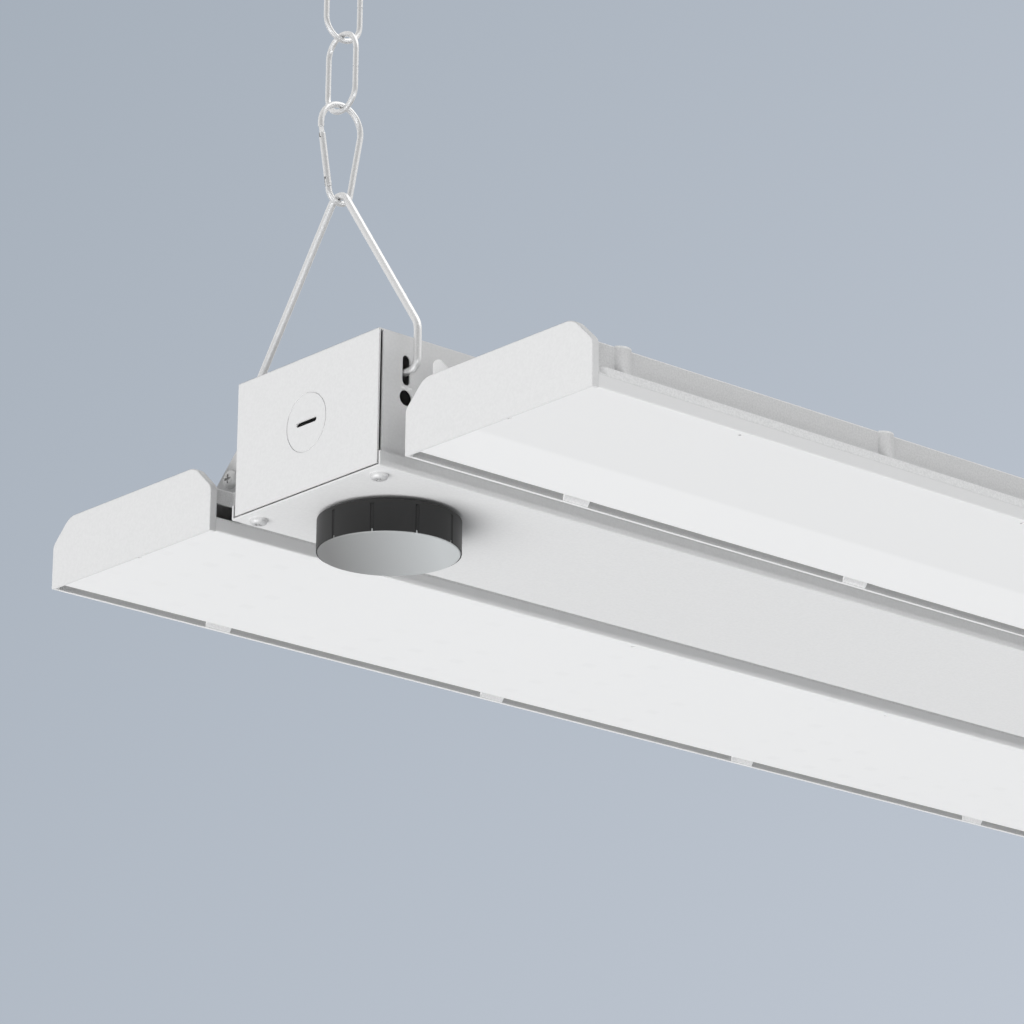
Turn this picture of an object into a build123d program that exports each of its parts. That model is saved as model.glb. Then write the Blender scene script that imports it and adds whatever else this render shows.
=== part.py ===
"""Suspended linear high bay light: driver box, two lensed wings, wire hangers, snap hooks and chain.

Frame: origin at the middle of the driver box's top face, +X along the light away from the
sensor end, +Z up. Millimetres throughout.
"""

from build123d import *
import math
import os

os.makedirs("parts", exist_ok=True)

# Overall sizes
length = 610.0
half_long = length / 2
depth = 55.2
wing_outer = 160.6
wing_inner = 58.2
sheet = 0.8
fold_round = 0.7
floor_z = -depth

# Driver box
box_wide = 84.5
slit = 1.4
lip_wide = 12.0
flap_clear = 0.8
box_half = box_wide / 2
wall_inner = box_half - sheet

# Box cover
cover_over = 1.9
cover_wide = box_wide + 2 * cover_over
cover_flange = 6.0
cover_top = floor_z + sheet
screw_x = half_long - 6.5
screw_y = box_half - 6.35

# Knockout
knock_dia = 23.8
knock_kerf = 0.45
knock_deep = 0.35
knock_z = -26.7
pry_long = 12.0
pry_high = 1.9

# Keyholes for the hanger wires
hanger_x = half_long - 13.5
slot_wide = 3.8
slot_top = -8.1
slot_low = -20.0
eye_z = -25.0
eye_dia = 6.2

# Sensor
sensor_x = -half_long + 41.5
sensor_dia = 55.4
sensor_drop = 14.3
sensor_gap = 1.8
neck_dia = 30.0
gasket_dia = 38.0
face_dia = 54.4
face_proud = 0.4
grip_count = 10
grip_turn = 216.7
grip_dia = 1.7

# Wing section, heights above the wing's underside
rim = 1.2
band_low = 8.6
band_top = 18.8
band_inset = 2.5
groove = 4.0
lens_thick = 1.6
lens_flange_low = 4.2
lens_flange_thick = 1.3
lens_round = 2.6
lens_side_round = 0.7
lens_clear = 0.15
lens_recess = 2.0
lens_recess_room = 0.4
strip_low = 5.3
slant_low = 5.9
slant_long = 4.2
back_round = 0.8
tab_hole_dia = 1.8
tab_hole_in = 2.7
tab_hole_back = 1.7
end_gap = 0.2
bump_end = 17.0
bump_step = 132.5
bump_places = (-half_long + bump_end, -half_long + bump_end + bump_step, 0.0,
               half_long - bump_end - bump_step, half_long - bump_end)
bump_long = 8.0
bump_proud = 2.4
tab_first = 76.6
tab_long = 12.5
tab_count = 4
tab_pitch = (length - 2 * tab_first - tab_long) / (tab_count - 1)
tab_rise = 3.1
tab_reach = 2.2
window_low = 5.9
window_high = 12.5
window_near = 3.6
window_far = 16.0

# End caps
cap_high = 28.0
cap_thick = 1.2
cap_flange = 3.2
cap_cut = 10.4
cap_drop = 10.0
cap_round = 9.0
cap_knee_round = 4.0

# Wing brackets
web_x = half_long - 16.0
web = 1.5
web_in = wing_inner - 3.6
web_slope = wing_inner + 42.2
web_top = 42.0
web_low = band_top + web
web_inner_round = 1.7
web_round = 4.0
join_y = wing_inner + 7.4
join_z = 25.7

# LED boards
board_thick = 1.6
board_side = 9.2
board_wide = wing_outer - wing_inner - 2 * board_side
board_end = 12.0
board_screw_in = 6.0
board_screw_x = (-half_long + board_end + 23.0, 0.0, half_long - board_end - 23.0)

# Wire hanger
wire = 3.0
leg_y = box_half + 6.25
entry_z = -14.8
entry_in = box_half - 8.65
shoulder_z = 3.0
shoulder_round = 9.0
apex_z = 68.6
apex_round = 5.6
bend = 4.0

# Snap hook
hook_wire = 2.4
hook_top_r = 9.8
hook_low_r = 5.3
hook_span = 25.8
pivot_t = 2.9
gate_dia = 2.6
gate_from = 1.1
gate_to = 23.0
tongue = 0.8
tongue_gap = 0.2
pin_dia = 1.0
pin_fit = 0.04

# Chain
link_wire = 2.2
link_wide = 18.8
link_long = 34.4
link_count = 3
rest_gap = 0.1

# Fasteners and inner parts
pan_dia = 6.8
pan_high = 2.1
shank_dia = 3.5
driver_long = 250.0
driver_wide = box_wide - 26.5
driver_high = 30.0
driver_x = 40.0
foot_long = 12.0
foot_wide = 28.0
foot_thick = 1.5
foot_hole = 4.4
foot_screw = 7.6
foot_shank = 4.0
terminal_x = driver_x - driver_long / 2 - 97.0
terminal_long = 28.0
terminal_wide = 34.0
terminal_high = 15.0
pole_pitch = 10.5
pole_dia = 4.2
lead_dia = 4.0
lead_z = 9.6
lead_x = half_long - 9.8
grommet_dia = 7.2
grommet_hole = 5.8
earth_x = terminal_x + 32.0
earth_y = box_half - 18.25
earth_shank = 3.1
wall_rivet_x = web_x - 8.0
wall_rivet_z = floor_z + 26.0
bracket_top = floor_z + 33.0

# Sizes that follow from the ones above
wing_middle = (wing_inner + wing_outer) / 2
wing_back = floor_z + band_top
tray_roof = wing_back - rim
pole_z = -sheet - 8.0
hook_low_z = apex_z - wire / 2 - hook_wire / 2 - rest_gap + hook_low_r
hook_tilt = math.asin((hook_top_r - hook_low_r) / hook_span)
limb = math.sqrt(hook_span ** 2 - (hook_top_r - hook_low_r) ** 2)


def save(name, shape):
    """Writes one node, whatever number of solids it holds."""
    solids = shape.solids() if hasattr(shape, "solids") else [s for item in shape for s in item.solids()]
    export_step(Compound(children=list(solids)) if len(solids) > 1 else solids[0], f"parts/{name}.step")


def block(x0, x1, y0, y1, z0, z1):
    """A box between two corners, whichever way round they are given."""
    size = (abs(x1 - x0), abs(y1 - y0), abs(z1 - z0))
    return Pos((x0 + x1) / 2, (y0 + y1) / 2, (z0 + z1) / 2) * Box(*size)


def rod(dia, start, end):
    """A round bar from one point to another."""
    axis = Vector(*end) - Vector(*start)
    return extrude(Plane(origin=start, z_dir=axis) * Circle(dia / 2), amount=axis.length)


def bored(dia_out, dia_in, start, end):
    """A tube from one point to another."""
    return rod(dia_out, start, end) - rod(dia_in, start, end)


def along_x(points, x0, x1):
    """An extrusion along X of an outline given as (y, z) points."""
    face = make_face(Polyline(*[(y, z) for y, z in points], close=True))
    return extrude(Plane(origin=(x0, 0, 0), x_dir=(0, 1, 0), z_dir=(1, 0, 0)) * face, amount=x1 - x0)


def mirror_x(shape):
    return mirror(shape, about=Plane.YZ)


def mirror_y(shape):
    return mirror(shape, about=Plane.XZ)


def four_ways(shape):
    """The shape and its copies at the other three corners."""
    pair = [shape, mirror_y(shape)]
    return pair + [mirror_x(item) for item in pair]


def pan_screw(dia, high, shank, reach):
    """A cross-recessed pan-head screw, seat at z = 0, head towards -Z and shank towards +Z."""
    head = Pos(0, 0, -high / 2) * Cylinder(dia / 2, high)
    head = fillet(head.edges().sort_by(Axis.Z)[0], high * 0.7)
    body = head + Pos(0, 0, reach / 2) * Cylinder(shank / 2, reach)
    arm = Pos(0, 0, -high + 0.45) * Box(dia * 0.52, dia * 0.14, 0.9)
    return body - arm - Rot(0, 0, 90) * arm


# Driver box
def knockout(end):
    """The shear line round a knockout in an end flap, and the pry slot through it."""
    face = end * half_long
    line = bored(knock_dia, knock_dia - 2 * knock_kerf, (face - end * knock_deep, 0, knock_z),
                 (face + end, 0, knock_z))
    pry = block(face - 3, face + 3, -pry_long / 2, pry_long / 2, knock_z - pry_high / 2,
                knock_z + pry_high / 2)
    return line + fillet(pry.edges().filter_by(Axis.X), pry_high / 2 - 0.05)


def keyhole(x):
    """Slot and eye through the walls on both sides of the box."""
    wide = box_wide + 4
    slot = block(x - slot_wide / 2, x + slot_wide / 2, -wide / 2, wide / 2, slot_low, slot_top)
    slot = fillet(slot.edges().filter_by(Axis.Y), slot_wide / 2 - 0.05)
    return slot + rod(eye_dia, (x, -wide / 2, eye_z), (x, wide / 2, eye_z))


def driver_housing():
    """Folded sheet channel: top, two walls with inward lips, two end flaps."""
    half = half_long
    wall_end = half - sheet - slit
    shape = block(-half, half, -box_half, box_half, -sheet, 0)
    for side in (-1, 1):
        shape += block(-wall_end, wall_end, side * wall_inner, side * box_half, cover_top, 0)
        inner = side * (box_half - lip_wide)
        shape += block(-wall_end, wall_end, inner, side * box_half, cover_top, cover_top + sheet)
    for end in (-1, 1):
        low = cover_top + flap_clear
        shape += block(end * (half - sheet), end * half, -box_half, box_half, low, 0)
        shape -= knockout(end)
        shape -= keyhole(end * hanger_x)
        for side in (-1, 1):
            mid = (slot_low + eye_z + eye_dia / 2) / 2
            rib = block(end * hanger_x - 2.2, end * hanger_x + 2.2, side * (box_half - 0.2),
                        side * (box_half + 0.7),
                        mid - 0.7, mid + 0.7)
            shape += chamfer(rib.edges().filter_by(Axis.X).sort_by(Axis.Y)[:: 1 if side < 0 else -1][:2],
                             0.5)
    outer = [e for e in shape.edges().filter_by(Axis.X)
             if abs(e.center().Z) < 1e-6 and abs(abs(e.center().Y) - box_half) < 1e-6]
    outer += [e for e in shape.edges().filter_by(Axis.Y)
              if abs(e.center().Z) < 1e-6 and abs(abs(e.center().X) - half) < 1e-6]
    shape = fillet(outer, fold_round)
    for hole in four_ways(rod(shank_dia - 0.6, (screw_x, screw_y, floor_z),
                              (screw_x, screw_y, floor_z + 6))):
        shape -= hole
    for hole in four_ways(rod(3.0, (wall_rivet_x, wall_inner - 4, wall_rivet_z),
                              (wall_rivet_x, box_half + 4, wall_rivet_z))):
        shape -= hole
    lead = (grommet_hole, (lead_x, -box_half - 3, floor_z + lead_z),
            (lead_x, box_half + 3, floor_z + lead_z))
    shape -= rod(*lead)
    for x in driver_screws():
        shape -= rod(foot_shank + 0.06, (x, 0, -sheet - 2), (x, 0, 2))
    shape -= rod(earth_shank + 0.06, (earth_x, earth_y, -sheet - 2), (earth_x, earth_y, 2))
    return shape


def driver_cover():
    """Shallow pan under the box, its flanges outside the walls."""
    half, wide = half_long, cover_wide / 2
    shape = block(-half, half, -wide, wide, floor_z, cover_top)
    for side in (-1, 1):
        shape += block(-half, half, side * (wide - sheet), side * wide, floor_z, floor_z + cover_flange)
    low = [e for e in shape.edges().filter_by(Axis.X)
           if abs(e.center().Z - floor_z) < 1e-6 and abs(abs(e.center().Y) - wide) < 1e-6]
    shape = fillet(low, fold_round)
    for hole in four_ways(rod(shank_dia + 0.4, (screw_x, screw_y, floor_z - 1),
                              (screw_x, screw_y, cover_top + 1))):
        shape -= hole
    return shape - rod(neck_dia + 0.4, (sensor_x, 0, floor_z - 1), (sensor_x, 0, cover_top + 1))


def cover_screws():
    screw = Pos(screw_x, screw_y, floor_z) * pan_screw(pan_dia, pan_high, shank_dia - 0.7, 6.0)
    return four_ways(screw)


# Sensor
def sensor_housing():
    """Round black cup with grip grooves and a threaded neck through the cover."""
    low, high = floor_z - sensor_drop, floor_z - sensor_gap
    shape = rod(sensor_dia, (sensor_x, 0, low), (sensor_x, 0, high))
    for k in range(grip_count):
        angle = 2 * math.pi * k / grip_count + math.radians(grip_turn)
        x = sensor_x + (sensor_dia / 2 + 0.35) * math.cos(angle)
        y = (sensor_dia / 2 + 0.35) * math.sin(angle)
        shape -= rod(grip_dia, (x, y, low - 1), (x, y, high - 1.4))
    shape += rod(neck_dia, (sensor_x, 0, high), (sensor_x, 0, cover_top + 9))
    shape -= rod(face_dia + 0.1, (sensor_x, 0, low - 1), (sensor_x, 0, low + 1.0))
    shape -= rod(face_dia - 5, (sensor_x, 0, low), (sensor_x, 0, high - 1.8))
    return shape - rod(neck_dia - 4, (sensor_x, 0, low), (sensor_x, 0, cover_top + 12))


def sensor_face():
    low = floor_z - sensor_drop
    disc = rod(face_dia, (sensor_x, 0, low - face_proud), (sensor_x, 0, low + 1.0))
    return fillet(disc.edges().filter_by(GeomType.CIRCLE).sort_by(Axis.Z)[0], 0.35)


def sensor_gasket():
    """Rubber ring between the sensor and the cover."""
    return bored(gasket_dia, neck_dia + 0.2, (sensor_x, 0, floor_z - sensor_gap), (sensor_x, 0, floor_z))


def sensor_board():
    low = floor_z - sensor_drop + 1.05
    board = rod(36.0, (sensor_x, 0, low), (sensor_x, 0, low + 1.5))
    return board + block(sensor_x - 8, sensor_x + 8, -5, 5, low + 1.5, low + 6)


def sensor_nut():
    base = cover_top + 0.05
    nut = extrude(Pos(sensor_x, 0, base) * RegularPolygon(22.0, 6), amount=5.0)
    return nut - rod(neck_dia + 0.1, (sensor_x, 0, base - 1), (sensor_x, 0, base + 6))


# Inner parts of the box
def driver_screws():
    reach = (driver_long + foot_long) / 2
    return (driver_x - reach, driver_x + reach)


def led_driver():
    """Potted driver can with a foot at each end under the box's top."""
    x0, x1 = driver_x - driver_long / 2, driver_x + driver_long / 2
    top = -sheet
    can = block(x0, x1, -driver_wide / 2, driver_wide / 2, top - driver_high, top)
    can = fillet(can.edges().filter_by(Axis.X).sort_by(Axis.Z)[:2], 2.0)
    shape = can + block(x0 - foot_long, x1 + foot_long, -foot_wide / 2, foot_wide / 2, top - foot_thick,
                        top)
    for x in driver_screws():
        shape -= rod(foot_hole, (x, 0, top - 3), (x, 0, top + 1))
    return shape


def driver_screw_group():
    screw = pan_screw(foot_screw, 2.4, foot_shank, sheet + foot_thick - 0.1)
    return [Pos(x, 0, -sheet - foot_thick) * screw for x in driver_screws()]


def terminal_block():
    """Three-way lever terminal on the roof of the box near the sensor end."""
    top = -sheet
    x0, x1 = terminal_x - terminal_long / 2, terminal_x + terminal_long / 2
    body = block(x0, x1, -terminal_wide / 2, terminal_wide / 2, top - terminal_high, top)
    body = chamfer(body.edges().filter_by(Axis.Y).sort_by(Axis.Z)[:2], 2.0)
    for y in pole_rows():
        body -= rod(pole_dia, (x0 - 1, y, pole_z), (x0 + 8, y, pole_z))
        body -= rod(pole_dia, (x1 - 8, y, pole_z), (x1 + 1, y, pole_z))
        body -= block(terminal_x - 4, terminal_x + 4, y - 2.2, y + 2.2, top - terminal_high - 1,
                      top - terminal_high + 2.5)
    return body


def pole_rows():
    return [pole_pitch * k for k in (-1, 0, 1)]


def terminal_levers():
    low = -sheet - terminal_high
    lever = block(terminal_x - 3.5, terminal_x + 3.5, -2.0, 2.0, low - 1.6, low + 2.5)
    return [Pos(0, y, 0) * lever for y in pole_rows()]


def earth_screw():
    return Pos(earth_x, earth_y, -sheet) * pan_screw(7.0, 2.2, earth_shank, sheet - 0.1)


def driver_leads():
    """Three leads from the terminal block into the driver's end."""
    out = []
    start, end = terminal_x + terminal_long / 2 - 4, driver_x - driver_long / 2
    low = -sheet - driver_high / 2
    for y in pole_rows():
        path = FilletPolyline((start, y, pole_z), (start + 32, y, pole_z), (end - 33, y * 0.57, low),
                              (end, y * 0.57, low),
                              radius=6)
        out.append(sweep(Plane(origin=path @ 0, z_dir=path % 0) * Circle(1.3), path=path))
    return out


def sensor_lead():
    """Lead from the sensor's neck up to the driver's end."""
    low = floor_z - sensor_drop + 7.1
    end = driver_x - driver_long / 2
    path = FilletPolyline((sensor_x, 0, low), (sensor_x, 0, -30.0), (sensor_x + 30, 0, -22.0),
                          (end - 30, 0, -25.0), (end, 0, -25.0), radius=8)
    return sweep(Plane(origin=path @ 0, z_dir=path % 0) * Circle(1.9), path=path)


# Wings
def cap_outline(grow=0.0):
    """End outline of a wing as (y, z) points before rounding, grown or shrunk on the sides and top."""
    low, top = floor_z, floor_z + cap_high + grow
    inner, outer = wing_inner - grow, wing_outer + grow
    knee = floor_z + cap_high - cap_drop + grow * 0.4
    return [(inner, low), (outer, low), (outer, knee), (outer - cap_cut, top), (inner + cap_cut, top),
            (inner, knee)]


def end_cap():
    """White pressed cap over the sensor end of the +Y wing."""
    half = half_long
    shell = round_caps(cap_outline(), -half, -half + cap_flange)
    hollow = round_caps(cap_outline(-cap_thick), -half + cap_thick, -half + cap_flange + 1)
    low_cut = block(-half + cap_thick, -half + cap_flange + 1, wing_inner + cap_thick,
                    wing_outer - cap_thick,
                    floor_z - 1, floor_z + 5)
    cap = shell - hollow - low_cut
    edge = [e for e in cap.edges() if abs(e.center().X + half) < 1e-6 and e.center().Z > floor_z + 1]
    return fillet(edge, 0.5)


def round_caps(points, x0, x1):
    """The cap's outline as a prism with its four upper corners rounded."""
    shape = along_x(points, x0, x1)
    knee, top = points[2][1], points[3][1]
    for z, radius in ((top, cap_round), (knee, cap_knee_round)):
        shape = fillet([e for e in shape.edges().filter_by(Axis.X) if abs(e.center().Z - z) < 1e-6], radius)
    return shape


def rim_edge(edge, way):
    """Outer and inner (y, z) points of the tray's rim edge from the underside up; way points out."""
    z0, zl, zt = floor_z, floor_z + band_low, wing_back
    y1, y2 = edge - way * rim, edge - way * band_inset
    outer = [(edge, z0), (edge, zl), (y2, zl), (y2, zt)]
    inner = [(y1, z0), (y1, zl - rim), (y2 - way * rim, zl - rim), (y2 - way * rim, zt - rim)]
    return outer, inner


def strip_edge(edge, way):
    """The same for the tray's edge that ends in a strip above the lens's side."""
    zl, zt = floor_z + band_low, wing_back
    y1, y2 = edge - way * lens_clear, edge - way * band_inset
    outer = [(y1, floor_z + strip_low), (y1, zl), (y2, zl), (y2, zt)]
    inner = [(y1 - way * rim, floor_z + strip_low), (y1 - way * rim, zl - rim),
             (y2 - way * rim, zl - rim), (y2 - way * rim, zt - rim)]
    return outer, inner


def wing_section(x0, x1, rim_outside):
    """The wing tray's bent sheet: an edge with a rim, an edge with a strip, and the back between them."""
    edges = (strip_edge, rim_edge) if rim_outside else (rim_edge, strip_edge)
    low_out, low_in = edges[0](wing_inner, -1)
    high_out, high_in = edges[1](wing_outer, 1)
    sheet_shape = along_x(low_out + high_out[::-1] + high_in + low_in[::-1], x0, x1)
    back = [e for e in sheet_shape.edges().filter_by(Axis.X) if abs(e.center().Z - wing_back) < 1e-6]
    return fillet(back, back_round)


def bump(x, y, side):
    """A half-round rib pressed out of an upper wall; side is the way it faces."""
    z0, z1 = floor_z + band_low, wing_back
    cut = block(x - bump_long, x + bump_long, y, y + side * 10, z0 - 1, z1 + 1)
    radius = ((bump_long / 2) ** 2 + bump_proud ** 2) / (2 * bump_proud)
    centre = y - side * (radius - bump_proud)
    return rod(2 * radius, (x, centre, z0), (x, centre, z1)) & cut


def tab_starts():
    return [-half_long + tab_first + k * tab_pitch for k in range(tab_count)]


def wing_tray(rim_outside):
    """The +Y wing's tray with ribs, bent-in tabs, lead windows and its screw holes."""
    half = half_long
    inset = cap_flange + end_gap
    shape = wing_section(-half + inset, half - inset, rim_outside)
    for x in bump_places:
        shape += bump(x, wing_outer - band_inset, 1)
        shape += bump(x, wing_inner + band_inset, -1)
    wall, side = (wing_outer - rim, -1) if rim_outside else (wing_inner + rim, 1)
    profile = [(wall - side * 0.4, floor_z), (wall, floor_z), (wall + side * tab_reach, floor_z + tab_rise),
               (wall + side * (tab_reach - 0.7), floor_z + tab_rise + 0.8), (wall - side * 0.4, floor_z + 1.2)]
    for start in tab_starts():
        shape += along_x(profile, start, start + tab_long)
    strip_y, way = (wing_inner, -1) if rim_outside else (wing_outer, 1)
    for end in (-1, 1):
        shape = slanted_end(shape, end * (half - inset), end, strip_y, way)
        shape -= block(end * (half - window_near), end * (half - window_far), wing_inner - 1,
                       wing_inner + band_inset + rim + 1, floor_z + window_low, floor_z + window_high)
    for x in board_screw_x:
        for y in board_screw_rows():
            shape -= rod(2.6, (x, y, floor_z + 12), (x, y, floor_z + 22))
    for x, y in foot_points():
        for end in (-1, 1):
            shape -= rod(3.2, (end * x, y, floor_z + 12), (end * x, y, floor_z + 22))
    return shape


def slanted_end(tray, x, end, edge, way):
    """The tray with the upper part of its strip slanted back to the wall at one end, beside the cap."""
    y_in, y_out = edge - way * band_inset, edge - way * lens_clear
    lead = x - end * slant_long
    z0, z1 = floor_z + slant_low, floor_z + band_low

    def prism(points):
        return extrude(Pos(0, 0, z0) * make_face(Polyline(*points, close=True)), amount=z1 - z0)

    filler = prism([(x, y_in - way * rim), (x, y_in), (lead, y_out), (lead, y_in - way * rim)])
    off = prism([(x + end, y_in), (x, y_in), (lead, y_out), (lead, y_out + way), (x + end, y_out + way)])
    return tray + filler - off


def lens(notch_y, rim_outside):
    """Diffuser of the +Y wing: a trough with a flange over the tabs and a side wall under the strip."""
    half = half_long - cap_thick - end_gap
    way = 1 if rim_outside else -1
    rim_y, strip_y = (wing_outer, wing_inner) if rim_outside else (wing_inner, wing_outer)
    drop_y = rim_y - way * (rim + groove)
    side_y = strip_y + way * lens_clear
    flange_y = rim_y - way * (rim + 0.2)
    z0 = floor_z + 0.1
    zf = floor_z + lens_flange_low
    zs = floor_z + strip_low - 0.05
    trough = along_x([(side_y, z0), (drop_y, z0), (drop_y, zf + 0.1), (side_y, zf + 0.1)], -half, half)
    for y, radius in ((side_y, lens_side_round), (drop_y, lens_round)):
        trough = fillet([e for e in trough.edges().filter_by(Axis.X) if abs(e.center().Y - y) < 1e-6
                         and abs(e.center().Z - z0) < 1e-6], radius)
    shape = trough + block(-half, half, side_y, side_y + way * lens_thick, zf, zs)
    shape += block(-half, half, drop_y - way * lens_thick, flange_y, zf, zf + lens_flange_thick)
    hollow = along_x([(side_y + way * lens_thick, z0 + lens_thick),
                      (drop_y - way * lens_thick, z0 + lens_thick),
                      (drop_y - way * lens_thick, zs + 1), (side_y + way * lens_thick, zs + 1)],
                      -half - 1, half + 1)
    corners = [e for e in hollow.edges().filter_by(Axis.X) if abs(e.center().Z - z0 - lens_thick) < 1e-6]
    shape -= fillet(corners, lens_round - lens_thick)
    for start in tab_starts():
        x0, x1 = start - lens_recess_room, start + tab_long + lens_recess_room
        shape += block(x0 - lens_thick, x1 + lens_thick, drop_y - way * lens_thick / 2,
                       drop_y - way * (lens_recess + lens_thick), z0 + lens_thick - 0.1, zf + lens_flange_thick)
        shape -= block(x0, x1, drop_y + way * 0.5, drop_y - way * lens_recess, z0 - 1, zf)
        hole = (start - tab_hole_back, strip_y + way * tab_hole_in)
        shape -= rod(tab_hole_dia, (*hole, z0 - 1), (*hole, z0 + lens_thick + 1))
    for end in (-1, 1):
        shape -= block(end * (half - 0.8), end * (half + 1), notch_y - 1.1, notch_y + 1.1, z0 - 1, z0 + 3)
        shape -= block(end * (half_long - cap_flange - 0.1), end * (half + 1), strip_y - way,
                       strip_y + way * (cap_thick + 0.1), z0 - 1, zs + 1)
    return shape


def board_screw_rows():
    reach = board_wide / 2 - board_screw_in
    return (wing_middle - reach, wing_middle + reach)


def led_board():
    half = half_long - board_end
    top = tray_roof
    shape = block(-half, half, wing_middle - board_wide / 2, wing_middle + board_wide / 2,
                  top - board_thick, top)
    for x in board_screw_x:
        for y in board_screw_rows():
            shape -= rod(3.2, (x, y, top - 3), (x, y, top + 1))
    return shape


def board_screws():
    top = tray_roof - board_thick
    screw = pan_screw(5.6, 1.7, 2.5, board_thick + rim + 1.0)
    return [Pos(x, y, top) * screw for x in board_screw_x for y in board_screw_rows()]


def lead_plug():
    """White connector under the +Y wing's board where the lead ends."""
    top = tray_roof - board_thick
    x = lead_x - 14
    return block(x - 6, x + 6, wing_inner + 16, wing_inner + 25, top - 6.0, top) - rod(
        lead_dia - 1.0, (x, wing_inner + 15, floor_z + lead_z), (x, wing_inner + 20, floor_z + lead_z))


def wing_lead():
    """Lead from the driver, through the box's wall and the wing's window, to the board's plug."""
    z = floor_z + lead_z
    y_in = wall_inner - 8
    start = driver_x + driver_long / 2
    plug_x = lead_x - 14
    path = FilletPolyline((start, 12, -22), (start + 40, 12, -22), (lead_x - 30, y_in - 10, z + 6),
                          (lead_x, y_in, z),
                          (lead_x, wing_inner + 10, z), (plug_x, wing_inner + 12, z), radius=4)
    return sweep(Plane(origin=path @ 0, z_dir=path % 0) * Circle(lead_dia / 2), path=path)


def grommet():
    """Rubber bush in the box's wall round the lead."""
    z = floor_z + lead_z
    x = lead_x
    shape = rod(grommet_hole - 0.1, (x, wall_inner - 1.2, z), (x, box_half + 0.9, z))
    shape += rod(grommet_dia, (x, box_half + 0.02, z), (x, box_half + 0.9, z))
    shape += rod(grommet_dia, (x, wall_inner - 1.2, z), (x, wall_inner - 0.02, z))
    return shape - rod(lead_dia + 0.1, (x, wall_inner - 3, z), (x, box_half + 3, z))


# Wing brackets
def foot_points():
    return [(web_x - 8.0, wing_inner + 9.0), (web_x - 8.0, wing_inner + 18.5)]


def gusset():
    """Upright plate on the +Y wing's back at the sensor end, with its foot."""
    zb = wing_back
    z_top = floor_z + web_top
    slope_y = web_slope - web_top
    drop = z_top - zb
    points = [(web_in, zb), (slope_y + drop, zb), (slope_y, z_top), (web_in, z_top)]
    shape = along_x(points, -web_x, -web_x + web)
    for y, radius in ((web_in, web_inner_round), (slope_y, web_round)):
        shape = fillet([e for e in shape.edges().filter_by(Axis.X) if abs(e.center().Y - y) < 1e-6
                        and abs(e.center().Z - z_top) < 1e-6], radius)
    shape += block(-web_x, -web_x + 14.0, wing_inner + band_inset + 1.0, slope_y + drop - 2.0, zb, zb + web)
    shape -= rod(4.2, (-web_x - 3, join_y, floor_z + join_z), (-web_x + 6, join_y, floor_z + join_z))
    for x, y in foot_points():
        shape -= rod(3.2, (-x, y, zb - 2), (-x, y, zb + 4))
    return shape


def wall_bracket():
    """Angle on the box's wall that the gusset bolts to, +Y side at the sensor end."""
    x0 = -web_x + web + 0.02
    z0, z1 = floor_z + web_low, bracket_top
    y0 = box_half + 0.02
    shape = block(x0, x0 + web, y0, join_y + 5.5, z0, z1)
    outer = [e for e in shape.edges().filter_by(Axis.X) if e.center().Y > join_y]
    shape = fillet(outer, 3.0)
    shape += block(x0, x0 + 16.0, y0, y0 + web, z0, z1)
    shape -= rod(4.2, (x0 - 3, join_y, floor_z + join_z), (x0 + 6, join_y, floor_z + join_z))
    return shape - rod(3.0, (-wall_rivet_x, y0 - 3, wall_rivet_z), (-wall_rivet_x, y0 + 6, wall_rivet_z))


def join_screw():
    """Screw along X that joins gusset and wall bracket, its head towards the end of the light."""
    screw = pan_screw(7.4, 2.2, 4.0, 7.0)
    return Pos(-web_x, join_y, floor_z + join_z) * Rot(0, 90, 0) * screw


def join_nut():
    x0 = -web_x + 2 * web + 0.02
    nut = extrude(Plane(origin=(x0, join_y, floor_z + join_z), z_dir=(1, 0, 0)) * RegularPolygon(4.0, 6),
                  amount=2.4)
    return nut - rod(4.06, (x0 - 1, join_y, floor_z + join_z), (x0 + 5, join_y, floor_z + join_z))


def wall_rivet():
    y0 = box_half + 0.02 + web
    shape = rod(2.9, (-wall_rivet_x, wall_inner - 1.4, wall_rivet_z), (-wall_rivet_x, y0, wall_rivet_z))
    shape += rod(5.2, (-wall_rivet_x, y0, wall_rivet_z), (-wall_rivet_x, y0 + 1.2, wall_rivet_z))
    return shape + rod(4.4, (-wall_rivet_x, wall_inner - 1.6, wall_rivet_z),
                       (-wall_rivet_x, wall_inner, wall_rivet_z))


def foot_rivets():
    zb = wing_back
    out = []
    for x, y in foot_points():
        shape = rod(3.1, (-x, y, zb - rim), (-x, y, zb + web))
        shape += rod(5.6, (-x, y, zb + web), (-x, y, zb + web + 1.2))
        out.append(shape)
    return out


# Hanger
def wire_hanger(x):
    """V of spring wire whose bent ends sit in the box's keyhole slots."""
    half_angle = math.atan(leg_y / (apex_z - shoulder_z + 4))
    tip = apex_z + apex_round * (1 / math.sin(half_angle) - 1)
    points = [(x, -entry_in, entry_z), (x, -leg_y, entry_z), (x, -leg_y, shoulder_z), (x, 0, tip),
              (x, leg_y, shoulder_z), (x, leg_y, entry_z), (x, entry_in, entry_z)]
    path = FilletPolyline(*points, radius=[bend, shoulder_round, apex_round, shoulder_round, bend])
    return sweep(Plane(origin=path @ 0, z_dir=path % 0) * Circle(wire / 2), path=path)


def limb_point(t):
    """Point (x, z) of the gate limb's centre line at distance t from its lower end."""
    x = -hook_low_r * math.cos(hook_tilt) - t * math.sin(hook_tilt)
    z = hook_low_z - hook_low_r * math.sin(hook_tilt) + t * math.cos(hook_tilt)
    return x, z


def limb_bar(dia, t0, t1, x):
    """Round bar along the gate limb."""
    a, b = limb_point(t0), limb_point(t1)
    return rod(dia, (x + a[0], 0, a[1]), (x + b[0], 0, b[1]))


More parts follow.
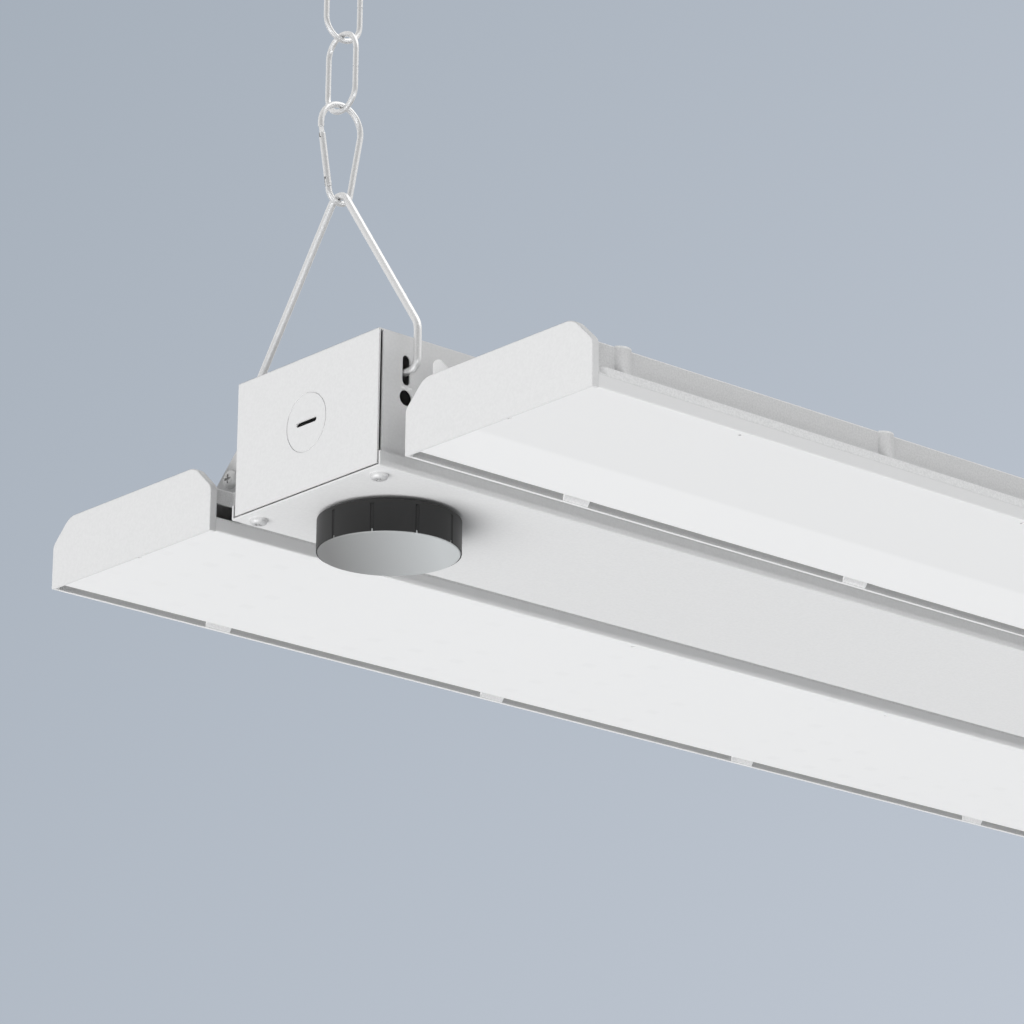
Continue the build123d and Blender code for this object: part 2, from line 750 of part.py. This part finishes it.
def limb_plate(wide, thick, t0, t1, x):
    """Flat bar along the gate limb, thin across the hook."""
    a = limb_point((t0 + t1) / 2)
    return Pos(x + a[0], 0, a[1]) * Rot(0, -math.degrees(hook_tilt), 0) * Box(wide, thick, t1 - t0)


def snap_hook(x):
    """Pear-shaped wire body of the snap hook with a tongue for the gate at each end."""
    c, s = math.cos(hook_tilt), math.sin(hook_tilt)
    top_z = hook_low_z + hook_span
    stub, low_in, low_out = limb_point(0.9), limb_point(0), (hook_low_r * c, hook_low_z - hook_low_r * s)
    high_in, high_out = limb_point(limb), (hook_top_r * c, top_z - hook_top_r * s)
    start = Line((x + stub[0], 0, stub[1]), (x + low_in[0], 0, low_in[1]))
    low = ThreePointArc((x + low_in[0], 0, low_in[1]), (x, 0, hook_low_z - hook_low_r),
                        (x + low_out[0], 0, low_out[1]))
    side = Line((x + low_out[0], 0, low_out[1]), (x + high_out[0], 0, high_out[1]))
    top = ThreePointArc((x + high_out[0], 0, high_out[1]), (x, 0, top_z + hook_top_r),
                        (x + high_in[0], 0, high_in[1]))
    path = Wire([start, low, side, top])
    shape = sweep(Plane(origin=path @ 0, z_dir=path % 0) * Circle(hook_wire / 2), path=path)
    shape += limb_plate(hook_wire - 0.2, tongue, 0.5, pivot_t + 1.1, x)
    shape += limb_plate(hook_wire - 0.6, tongue, gate_to - 1.6, limb + 0.3, x)
    px, pz = limb_point(pivot_t)
    return shape - rod(pin_dia + 2 * pin_fit, (x + px, -3, pz), (x + px, 3, pz))


def snap_gate(x):
    """Forked gate bar, pinned at its lower end."""
    shape = limb_bar(gate_dia, gate_from, gate_to, x)
    ends = [e for e in shape.edges() if e.geom_type == GeomType.CIRCLE]
    shape = fillet(ends, 0.5)
    thick = tongue + 2 * tongue_gap
    shape -= limb_plate(gate_dia + 1, thick, gate_from - 1, pivot_t + 2.2, x)
    shape -= limb_plate(gate_dia + 1, thick, gate_to - 2.1, gate_to + 1, x)
    px, pz = limb_point(pivot_t)
    return shape - rod(pin_dia + 0.02, (x + px, -3, pz), (x + px, 3, pz))


def gate_pin(x):
    px, pz = limb_point(pivot_t)
    return rod(pin_dia, (x + px, -gate_dia / 2 - 0.2, pz), (x + px, gate_dia / 2 + 0.2, pz))


def chain_link(x, number):
    """Oval wire link, counted from the snap hook; even and odd links stand crosswise."""
    first_low = hook_low_z + hook_span + hook_top_r - hook_wire / 2 - rest_gap - link_wire
    low = first_low + number * (link_long - 2 * link_wire - rest_gap)
    radius = (link_wide - link_wire) / 2
    straight = link_long - link_wide
    z0 = low + link_wire / 2 + radius
    arc = ThreePointArc((-radius, z0 + straight), (0, z0 + straight + radius), (radius, z0 + straight))
    back = Line((radius, z0 + straight), (radius, z0))
    foot = ThreePointArc((radius, z0), (0, z0 - radius), (-radius, z0))
    section = Plane(origin=(-radius, z0 + straight / 2, 0), z_dir=(0, 1, 0)) * Circle(link_wire / 2)
    ring = Wire([Line((-radius, z0 + straight / 2), (-radius, z0 + straight)), arc, back, foot,
                 Line((-radius, z0), (-radius, z0 + straight / 2))])
    link = sweep(section, path=ring)
    seam = Pos(-radius if number % 2 == 0 else radius, z0 + straight / 2, 0) * Rot(90, 0, 0)
    link -= seam * (Cylinder(link_wire, 0.3) - Cylinder(link_wire / 2 - 0.2, 0.3))
    link = Rot(90, 0, 0) * link
    if number % 2 == 0:
        link = Rot(0, 0, 90) * link
    return Pos(x, 0, 0) * link


def export_box():
    save("driver_housing", driver_housing())
    save("driver_cover", driver_cover())
    save("cover_screws", cover_screws())
    save("sensor_housing", sensor_housing())
    save("sensor_face", sensor_face())
    save("sensor_board", sensor_board())
    save("sensor_nut", sensor_nut())
    save("sensor_gasket", sensor_gasket())
    save("led_driver", led_driver())
    save("driver_screws", driver_screw_group())
    save("terminal_block", terminal_block())
    save("terminal_levers", terminal_levers())
    save("earth_screw", earth_screw())
    save("driver_leads", driver_leads())
    save("sensor_lead", sensor_lead())


def export_wings():
    cap = end_cap()
    for side, turn, notch, rim_outside in (("left", lambda s: s, 104.2, True),
                                           ("right", mirror_y, 114.8, False)):
        save(f"wing_tray_{side}", turn(wing_tray(rim_outside)))
        save(f"lens_{side}", turn(lens(notch, rim_outside)))
        save(f"led_board_{side}", turn(led_board()))
        save(f"board_screws_{side}", [turn(s) for s in board_screws()])
        save(f"lead_plug_{side}", turn(lead_plug()))
        save(f"wing_lead_{side}", turn(wing_lead()))
        save(f"grommet_{side}", turn(grommet()))
        save(f"end_cap_{side}_front", turn(cap))
        save(f"end_cap_{side}_rear", mirror_x(turn(cap)))
        save(f"gusset_{side}_front", turn(gusset()))
        save(f"gusset_{side}_rear", mirror_x(turn(gusset())))
        save(f"wall_bracket_{side}_front", turn(wall_bracket()))
        save(f"wall_bracket_{side}_rear", mirror_x(turn(wall_bracket())))
    save("join_screws", four_ways(join_screw()))
    save("join_nuts", four_ways(join_nut()))
    save("wall_rivets", four_ways(wall_rivet()))
    save("foot_rivets", [s for rivet in foot_rivets() for s in four_ways(rivet)])


def export_hangers():
    for end, x in (("front", -hanger_x), ("rear", hanger_x)):
        save(f"wire_hanger_{end}", wire_hanger(x))
        save(f"snap_hook_{end}", snap_hook(x))
        save(f"snap_gate_{end}", snap_gate(x))
        save(f"gate_pin_{end}", gate_pin(x))
        for number in range(link_count):
            save(f"chain_link_{end}_{number + 1}", chain_link(x, number))


export_box()
export_wings()
export_hangers()
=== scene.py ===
import math

import bpy
from mathutils import Matrix, Vector


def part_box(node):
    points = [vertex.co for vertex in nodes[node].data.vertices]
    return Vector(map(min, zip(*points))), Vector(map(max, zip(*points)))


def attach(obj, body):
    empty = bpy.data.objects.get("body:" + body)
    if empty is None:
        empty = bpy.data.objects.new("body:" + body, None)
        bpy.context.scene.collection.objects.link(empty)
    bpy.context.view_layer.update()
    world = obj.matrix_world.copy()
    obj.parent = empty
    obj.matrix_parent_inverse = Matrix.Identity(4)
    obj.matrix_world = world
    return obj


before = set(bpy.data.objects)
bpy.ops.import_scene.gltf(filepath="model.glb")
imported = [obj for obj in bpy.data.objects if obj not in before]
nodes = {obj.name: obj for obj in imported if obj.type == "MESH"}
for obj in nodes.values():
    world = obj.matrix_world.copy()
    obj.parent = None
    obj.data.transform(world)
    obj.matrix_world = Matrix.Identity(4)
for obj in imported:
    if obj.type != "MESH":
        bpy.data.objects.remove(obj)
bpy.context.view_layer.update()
print("stage: frame loaded")


# Shader helpers

def newMaterial(name):
    mat = bpy.data.materials.new(name)
    mat.use_nodes = True
    tree = mat.node_tree
    return mat, tree, tree.nodes["Principled BSDF"]


def newNode(tree, kind, inputs, **settings):
    node = tree.nodes.new(kind)
    for name, value in settings.items():
        setattr(node, name, value)
    for slot, value in inputs.items():
        if isinstance(value, bpy.types.NodeSocket):
            tree.links.new(value, node.inputs[slot])
        else:
            node.inputs[slot].default_value = value
    return node


def mathNode(tree, operation, *values):
    return newNode(tree, "ShaderNodeMath", dict(enumerate(values)), operation=operation).outputs[0]


def objectPlace(tree):
    place = newNode(tree, "ShaderNodeTexCoord", {}).outputs["Object"]
    return place, newNode(tree, "ShaderNodeSeparateXYZ", {"Vector": place}).outputs


def noise(tree, vector, scale, detail=2.0):
    node = newNode(tree, "ShaderNodeTexNoise", {"Vector": vector, "Scale": scale, "Detail": detail})
    return node.outputs["Fac"]


def ramp(tree, fac, low, high, start=0.35, end=0.65):
    node = newNode(tree, "ShaderNodeValToRGB", {"Fac": fac})
    for stop, position, colour in zip(node.color_ramp.elements, (start, end), (low, high)):
        stop.position = position
        stop.color = (*colour, 1.0)
    return node.outputs["Color"]


def mapRange(tree, value, start, end, top=1.0, way="LINEAR"):
    inputs = {"Value": value, "From Min": start, "From Max": end, "To Max": top}
    return newNode(tree, "ShaderNodeMapRange", inputs, interpolation_type=way).outputs["Result"]


def bump(tree, shader, height, strength):
    inputs = {"Strength": strength, "Distance": grit["depth"], "Height": height}
    node = newNode(tree, "ShaderNodeBump", inputs)
    tree.links.new(node.outputs["Normal"], shader.inputs["Normal"])


def shade(colour, factor):
    return tuple(min(1.0, c * factor) for c in colour)


def shaded(tree, plain, where, tone):
    factor = mathNode(tree, "MULTIPLY_ADD", where, tone - 1, 1.0)
    node = newNode(tree, "ShaderNodeVectorMath", {0: plain, "Scale": factor}, operation="SCALE")
    return node.outputs["Vector"]


# Paint, plastic and metal

grit = {
    "depth": 0.0002,
    "paintIor": 1.45,
    "wireGrain": 1400.0,
    "wireRelief": 0.08,
    "wireDark": 0.95,
    "wireBright": 1.04,
}


def coatedPaint(name, colour, rough=0.5, speckle=0.02, grain=900.0, relief=0.15):
    mat, tree, shader = newMaterial(name)
    place, _ = objectPlace(tree)
    fine = noise(tree, place, grain, 3.0)
    tone = ramp(tree, fine, shade(colour, 1 - speckle), shade(colour, 1 + speckle))
    tree.links.new(tone, shader.inputs["Base Color"])
    shader.inputs["Roughness"].default_value = rough
    shader.inputs["IOR"].default_value = grit["paintIor"]
    bump(tree, shader, fine, relief)
    return mat


def plastic(name, colour, rough=0.4):
    return coatedPaint(name, colour, rough, speckle=0.04, grain=1200.0, relief=0.1)


def wireMetal(name, colour, rough=0.34, metallic=0.85):
    mat, tree, shader = newMaterial(name)
    place, _ = objectPlace(tree)
    fine = noise(tree, place, grit["wireGrain"])
    tone = ramp(tree, fine, shade(colour, grit["wireDark"]), shade(colour, grit["wireBright"]))
    tree.links.new(tone, shader.inputs["Base Color"])
    shader.inputs["Metallic"].default_value = metallic
    shader.inputs["Roughness"].default_value = rough
    bump(tree, shader, fine, grit["wireRelief"])
    return mat


# Wing trays: painted shade makes the recessed band and the rim's inner face darker

tray = {
    "colour": (0.84, 0.84, 0.84),
    "rough": 0.5,
    "speckle": 0.06,
    "grain": 1500.0,
    "relief": 0.3,
    "bandZ": -0.04185,
    "bandReach": 0.00475,
    "bandPaintedShade": 0.82,
    "rimZ": -0.0513,
    "rimReach": 0.0037,
    "rimPaintedShade": 0.54,
    "rimFaceLeft": 0.1594,
    "rimFaceRight": -0.0594,
    "rimFaceReach": 0.0002,
}


def trayPaintWithPaintedShade(name, rimFace):
    mat = coatedPaint(name, tray["colour"], tray["rough"], tray["speckle"], tray["grain"], tray["relief"])
    tree = mat.node_tree
    base = tree.nodes["Principled BSDF"].inputs["Base Color"]
    _, (_, y, z) = objectPlace(tree)
    # painted shade: the recessed band is darkened
    bandShadeMask = mathNode(tree, "COMPARE", z, tray["bandZ"], tray["bandReach"])
    # painted shade: the rim's inner face inside the groove is darkened
    rimShadeLevel = mathNode(tree, "COMPARE", z, tray["rimZ"], tray["rimReach"])
    onFace = mathNode(tree, "COMPARE", y, rimFace, tray["rimFaceReach"])
    plain = shaded(tree, base.links[0].from_socket, bandShadeMask, tray["bandPaintedShade"])
    plain = shaded(tree, plain, mathNode(tree, "MULTIPLY", rimShadeLevel, onFace), tray["rimPaintedShade"])
    tree.links.new(plain, base)
    return mat


# Lenses: faint marks over the chips on the left one, painted shade darkening the outer part of the right
# one

chips = {
    "rows": 5,
    "rowPitch": 0.0165,
    "columns": 26,
    "columnPitch": 0.0222,
    "body": (0.0035, 0.0028, 0.0007),
    "window": (0.0024, 0.0021, 0.00012),
    "lift": 0.00002,
}
opal = {
    "colour": (0.945, 0.945, 0.945),
    "rough": 0.42,
    "ior": 1.49,
    "through": 0.06,
    "grain": 1600.0,
    "relief": 0.05,
    "middle": 0.1094,
    "markLong": 0.0062,
    "markWide": 0.0046,
    "markShade": 0.022,
    "wraps": 40,  # whole pitches added, so that the modulo stays positive
    "zonePaintedShade": 0.06,
    "zoneFrom": -0.0955,
    "zoneTo": -0.0995,
    "cloudScale": 18.0,
    "cloudFrom": 0.4,
    "cloudTo": 0.6,
}


def window(tree, value, pitch, start, width):
    shift = mathNode(tree, "ADD", value, pitch * opal["wraps"] - start + width / 2)
    return mathNode(tree, "LESS_THAN", mathNode(tree, "MODULO", shift, pitch), width)


def opalMarks(tree, place, x, y):
    along = window(tree, x, chips["columnPitch"], chips["columnPitch"] / 2, opal["markLong"])
    across = window(tree, y, chips["rowPitch"], opal["middle"], opal["markWide"])
    cloud = noise(tree, place, opal["cloudScale"], 1.0)
    faint = ramp(tree, cloud, (0.0, 0.0, 0.0), (1.0, 1.0, 1.0), opal["cloudFrom"], opal["cloudTo"])
    marks = mathNode(tree, "MULTIPLY", mathNode(tree, "MULTIPLY", along, across), faint)
    return mathNode(tree, "MULTIPLY", marks, opal["markShade"])


# painted shade: the right lens darkens towards its outer part
def opalPaintedShadeZone(tree, place, x, y):
    return mapRange(tree, y, opal["zoneFrom"], opal["zoneTo"], opal["zonePaintedShade"], "SMOOTHSTEP")


def opalPlastic(name, darkening):
    mat, tree, shader = newMaterial(name)
    place, (x, y, _) = objectPlace(tree)
    tint = newNode(tree, "ShaderNodeMix", {}, data_type="RGBA")
    tint.inputs["A"].default_value = (*opal["colour"], 1.0)
    tint.inputs["B"].default_value = (0.0, 0.0, 0.0, 1.0)
    tree.links.new(darkening(tree, place, x, y), tint.inputs["Factor"])
    tree.links.new(tint.outputs["Result"], shader.inputs["Base Color"])
    shader.inputs["Roughness"].default_value = opal["rough"]
    shader.inputs["IOR"].default_value = opal["ior"]
    shader.inputs["Transmission Weight"].default_value = opal["through"]
    bump(tree, shader, noise(tree, place, opal["grain"]), opal["relief"])
    return mat


# Sensor face: painted reflection, dark to light across it, by x less y

sensorFacePaintedReflection = {
    "dark": (0.20, 0.20, 0.198),
    "light": (0.57, 0.59, 0.595),
    "from": -0.295,
    "to": -0.235,
    "rough": 0.33,
}


def reflectionPaintedDisc(name):
    mat, tree, shader = newMaterial(name)
    _, (x, y, _) = objectPlace(tree)
    across = mapRange(tree, mathNode(tree, "SUBTRACT", x, y), sensorFacePaintedReflection["from"], sensorFacePaintedReflection["to"])
    # painted reflection: the face turns from dark to light across it
    tone = ramp(tree, across, sensorFacePaintedReflection["dark"], sensorFacePaintedReflection["light"], 0.0, 1.0)
    tree.links.new(tone, shader.inputs["Base Color"])
    shader.inputs["Roughness"].default_value = sensorFacePaintedReflection["rough"]
    return mat


# Which node has which material

mats = {
    "paint": coatedPaint("whitePaint", (0.76, 0.76, 0.76)),
    "trayLeft": trayPaintWithPaintedShade("trayPaintLeft", tray["rimFaceLeft"]),
    "trayRight": trayPaintWithPaintedShade("trayPaintRight", tray["rimFaceRight"]),
    "lensLeft": opalPlastic("opalLensLeft", opalMarks),
    "lensRight": opalPlastic("opalLensRight", opalPaintedShadeZone),
    "board": coatedPaint("boardMask", (0.82, 0.82, 0.81), rough=0.35, speckle=0.01),
    "zinc": wireMetal("zincWire", (0.80, 0.80, 0.80)),
    "screw": wireMetal("zincScrew", (0.70, 0.70, 0.70), rough=0.4, metallic=0.45),
    "black": plastic("blackShell", (0.012, 0.012, 0.012), rough=0.45),
    "face": reflectionPaintedDisc("sensorFacePaintedReflection"),
    "greenMask": plastic("greenMask", (0.02, 0.16, 0.07), rough=0.35),
    "can": wireMetal("driverCan", (0.78, 0.78, 0.79), rough=0.42, metallic=0.8),
    "grey": plastic("terminalGrey", (0.42, 0.42, 0.42)),
    "orange": plastic("leverOrange", (0.75, 0.16, 0.02)),
    "jacket": plastic("leadJacket", (0.16, 0.16, 0.165), rough=0.45),
    "rubber": plastic("bushRubber", (0.03, 0.03, 0.03), rough=0.6),
    "plug": plastic("plugWhite", (0.75, 0.75, 0.72), rough=0.35),
    "chip": plastic("chipBody", (0.85, 0.85, 0.84), rough=0.35),
    "phosphor": plastic("chipPhosphor", (0.80, 0.62, 0.10), rough=0.3),
}

nodePrefixes = {
    "paint": ("wall_bracket", "gusset", "end_cap", "driver_housing", "driver_cover"),
    "trayLeft": ("wing_tray_left",),
    "trayRight": ("wing_tray_right",),
    "lensLeft": ("lens_left",),
    "lensRight": ("lens_right",),
    "board": ("led_board",),
    "zinc": ("wire_hanger", "snap", "gate_pin", "chain_link"),
    "screw": ("cover_screws", "driver_screws", "board_screws", "earth_screw",
              "join", "wall_rivets", "foot_rivets"),
    "black": ("sensor_housing", "sensor_nut"),
    "face": ("sensor_face",),
    "greenMask": ("sensor_board",),
    "can": ("led_driver",),
    "grey": ("terminal_block",),
    "orange": ("terminal_levers",),
    "jacket": ("driver_leads", "sensor_lead", "wing_lead"),
    "rubber": ("grommet", "sensor_gasket"),
    "plug": ("lead_plug",),
}
for nodeName, node in nodes.items():
    key = next(slot for slot, prefixes in nodePrefixes.items() if nodeName.startswith(prefixes))
    node.data.materials.clear()
    node.data.materials.append(mats[key])
print("stage: materials assigned")


# Lamp chips

def chipTree(name, material):
    tree = bpy.data.node_groups.new(name, "GeometryNodeTree")
    face = tree.interface
    face.new_socket("Geometry", in_out="OUTPUT", socket_type="NodeSocketGeometry")
    kinds = {"Rows": "Int", "Columns": "Int", "Row Pitch": "Float", "Column Pitch": "Float",
             "Chip Size": "Vector", "Centre": "Vector"}
    sockets = {label: face.new_socket(label, in_out="INPUT", socket_type="NodeSocket" + kind).identifier
               for label, kind in kinds.items()}
    given = newNode(tree, "NodeGroupInput", {}).outputs

    def spread(count, pitch):
        return mathNode(tree, "MULTIPLY", mathNode(tree, "SUBTRACT", given[count], 1.0), given[pitch])

    grid = newNode(tree, "GeometryNodeMeshGrid", {
        "Size X": spread("Columns", "Column Pitch"), "Size Y": spread("Rows", "Row Pitch"),
        "Vertices X": given["Columns"], "Vertices Y": given["Rows"]})
    cube = newNode(tree, "GeometryNodeMeshCube", {"Size": given["Chip Size"]})
    place = newNode(tree, "GeometryNodeInstanceOnPoints",
                    {"Points": grid.outputs["Mesh"], "Instance": cube.outputs["Mesh"]})
    move = newNode(tree, "GeometryNodeTransform",
                   {"Geometry": place.outputs["Instances"], "Translation": given["Centre"]})
    real = newNode(tree, "GeometryNodeRealizeInstances", {"Geometry": move.outputs["Geometry"]})
    paint = newNode(tree, "GeometryNodeSetMaterial",
                    {"Geometry": real.outputs["Geometry"], "Material": material})
    newNode(tree, "NodeGroupOutput", {"Geometry": paint.outputs["Geometry"]})
    return tree, sockets


def runTree(name, tree, sockets, values, body):
    holder = bpy.data.objects.new(name, bpy.data.meshes.new(name))
    bpy.context.collection.objects.link(holder)
    modifier = holder.modifiers.new("grow", "NODES")
    modifier.node_group = tree
    for label, value in values.items():
        modifier[sockets[label]] = value
    holder.update_tag()
    bpy.context.view_layer.update()
    grown = holder.evaluated_get(bpy.context.evaluated_depsgraph_get())
    mesh = bpy.data.meshes.new_from_object(grown)
    mesh.name = name
    holder.modifiers.remove(modifier)
    holder.data = mesh
    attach(holder, body)
    return holder


bodyTree, bodySockets = chipTree("chipBodies", mats["chip"])
windowTree, windowSockets = chipTree("chipWindows", mats["phosphor"])
for side in ("left", "right"):
    low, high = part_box("led_board_" + side)
    middle = ((low[0] + high[0]) / 2, (low[1] + high[1]) / 2)
    bodyZ = low[2] - chips["body"][2] / 2 - chips["lift"]
    windowZ = low[2] - chips["body"][2] - chips["window"][2] / 2 - chips["lift"]
    common = {"Rows": chips["rows"], "Columns": chips["columns"], "Row Pitch": chips["rowPitch"],
              "Column Pitch": chips["columnPitch"]}
    bodyValues = {**common, "Chip Size": chips["body"], "Centre": (*middle, bodyZ)}
    windowValues = {**common, "Chip Size": chips["window"], "Centre": (*middle, windowZ)}
    chipBodies = runTree("chipBodies" + side.title(), bodyTree, bodySockets, bodyValues, "fixture")
    chipWindows = runTree("chipWindows" + side.title(), windowTree, windowSockets, windowValues, "fixture")
print("stage: lamp chips placed")


# Floor

stageSet = {
    "floorZ": -1.6,
    "floorHalf": 60.0,
    "floorColour": (0.80, 0.81, 0.83),
    "floorRough": 0.8,
}

half, floorZ = stageSet["floorHalf"], stageSet["floorZ"]
corners = [(-half, -half, floorZ), (half, -half, floorZ), (half, half, floorZ), (-half, half, floorZ)]
floorMesh = bpy.data.meshes.new("floor")
floorMesh.from_pydata(corners, [], [(0, 1, 2, 3)])
floor = bpy.data.objects.new("floor", floorMesh)
bpy.context.collection.objects.link(floor)
floorMat, _, floorShader = newMaterial("floorPale")
floorShader.inputs["Base Color"].default_value = (*stageSet["floorColour"], 1.0)
floorShader.inputs["Roughness"].default_value = stageSet["floorRough"]
floorMesh.materials.append(floorMat)
floor.visible_shadow = False
floor.visible_diffuse = False


# World: a gradient for the camera, a reflection that is darker at the camera, an even light for the rest

view = {
    "eye": (-1.38232, -1.35609, -0.64395),
    "right": (0.752169, -0.658906, 0.009263),
    "up": (-0.216786, -0.234147, 0.947723),
    "back": (-0.62229, -0.71486, -0.31896),
    "lens": 171.401,
    "sensor": 36.0,
}
air = {
    "backLeft": (0.385, 0.434, 0.497),
    "backRight": (0.510, 0.558, 0.630),
    "glossBehind": (0.36, 0.36, 0.36),
    "glossAround": (0.88, 0.88, 0.88),
    "glossTurn": -0.2,
    "fill": (0.97, 0.985, 1.0),
    "fillStrength": 0.355,
}


def background(tree, colour, strength=1.0):
    node = newNode(tree, "ShaderNodeBackground", {"Color": colour, "Strength": strength})
    return node.outputs["Background"]


def mixShader(tree, fac, plain, chosen):
    return newNode(tree, "ShaderNodeMixShader", {"Fac": fac, 1: plain, 2: chosen}).outputs["Shader"]


world = bpy.data.worlds.new("studio")
bpy.context.scene.world = world
world.use_nodes = True
tree = world.node_tree
tree.nodes.clear()
coords = newNode(tree, "ShaderNodeTexCoord", {}).outputs
path = newNode(tree, "ShaderNodeLightPath", {}).outputs
pictureX, pictureY, _ = newNode(tree, "ShaderNodeSeparateXYZ", {"Vector": coords["Window"]}).outputs
across = mapRange(tree, mathNode(tree, "SUBTRACT", pictureX, pictureY), -1.0, 1.0)
seen = background(tree, ramp(tree, across, air["backLeft"], air["backRight"], 0.0, 1.0))
facing = newNode(tree, "ShaderNodeVectorMath", {0: coords["Generated"], 1: view["back"]},
                 operation="DOT_PRODUCT")
aside = mapRange(tree, facing.outputs["Value"], 1.0, air["glossTurn"])
gloss = background(tree, ramp(tree, aside, air["glossBehind"], air["glossAround"], 0.0, 1.0))
light = background(tree, (*air["fill"], 1.0), air["fillStrength"])
lit = mixShader(tree, path["Is Glossy Ray"], light, gloss)
newNode(tree, "ShaderNodeOutputWorld", {"Surface": mixShader(tree, path["Is Camera Ray"], lit, seen)})


# Lights: two wide suns, and a long low strip for the faces towards -Y

suns = {
    "keyLight": {"towards": (0.718, 0.0, 0.696), "strength": 2.82, "spread": 60},
    "topLight": {"towards": (-0.4, 0.36, -0.84), "strength": 0.75, "spread": 60},
}
strip = {
    "place": (-0.1, -0.6, -0.14),
    "towards": (0.0, 0.44, 0.1),
    "long": 1.3,
    "wide": 0.04,
    "power": 0.9,
}


def lamp(name, kind, towards, strength):
    data = bpy.data.lights.new(name, kind)
    data.energy = strength
    holder = bpy.data.objects.new(name, data)
    holder.rotation_mode = "QUATERNION"
    holder.rotation_quaternion = Vector(towards).to_track_quat("-Z", "Y")
    bpy.context.collection.objects.link(holder)
    return holder


for name, values in suns.items():
    lamp(name, "SUN", values["towards"], values["strength"]).data.angle = math.radians(values["spread"])
sideLight = lamp("sideLight", "AREA", strip["towards"], strip["power"])
sideLight.data.shape = "RECTANGLE"
sideLight.data.size = strip["long"]
sideLight.data.size_y = strip["wide"]
sideLight.location = strip["place"]
sideLight.visible_camera = False


# Camera

cameraData = bpy.data.cameras.new("camera")
cameraData.lens = view["lens"]
cameraData.sensor_width = view["sensor"]
camera = bpy.data.objects.new("camera", cameraData)
turn = Matrix((view["right"], view["up"], view["back"])).transposed()
camera.matrix_world = Matrix.Translation(view["eye"]) @ turn.to_4x4()
bpy.context.collection.objects.link(camera)
bpy.context.scene.camera = camera
bpy.context.scene.view_settings.view_transform = "Standard"
print("stage: floor, light and camera set")
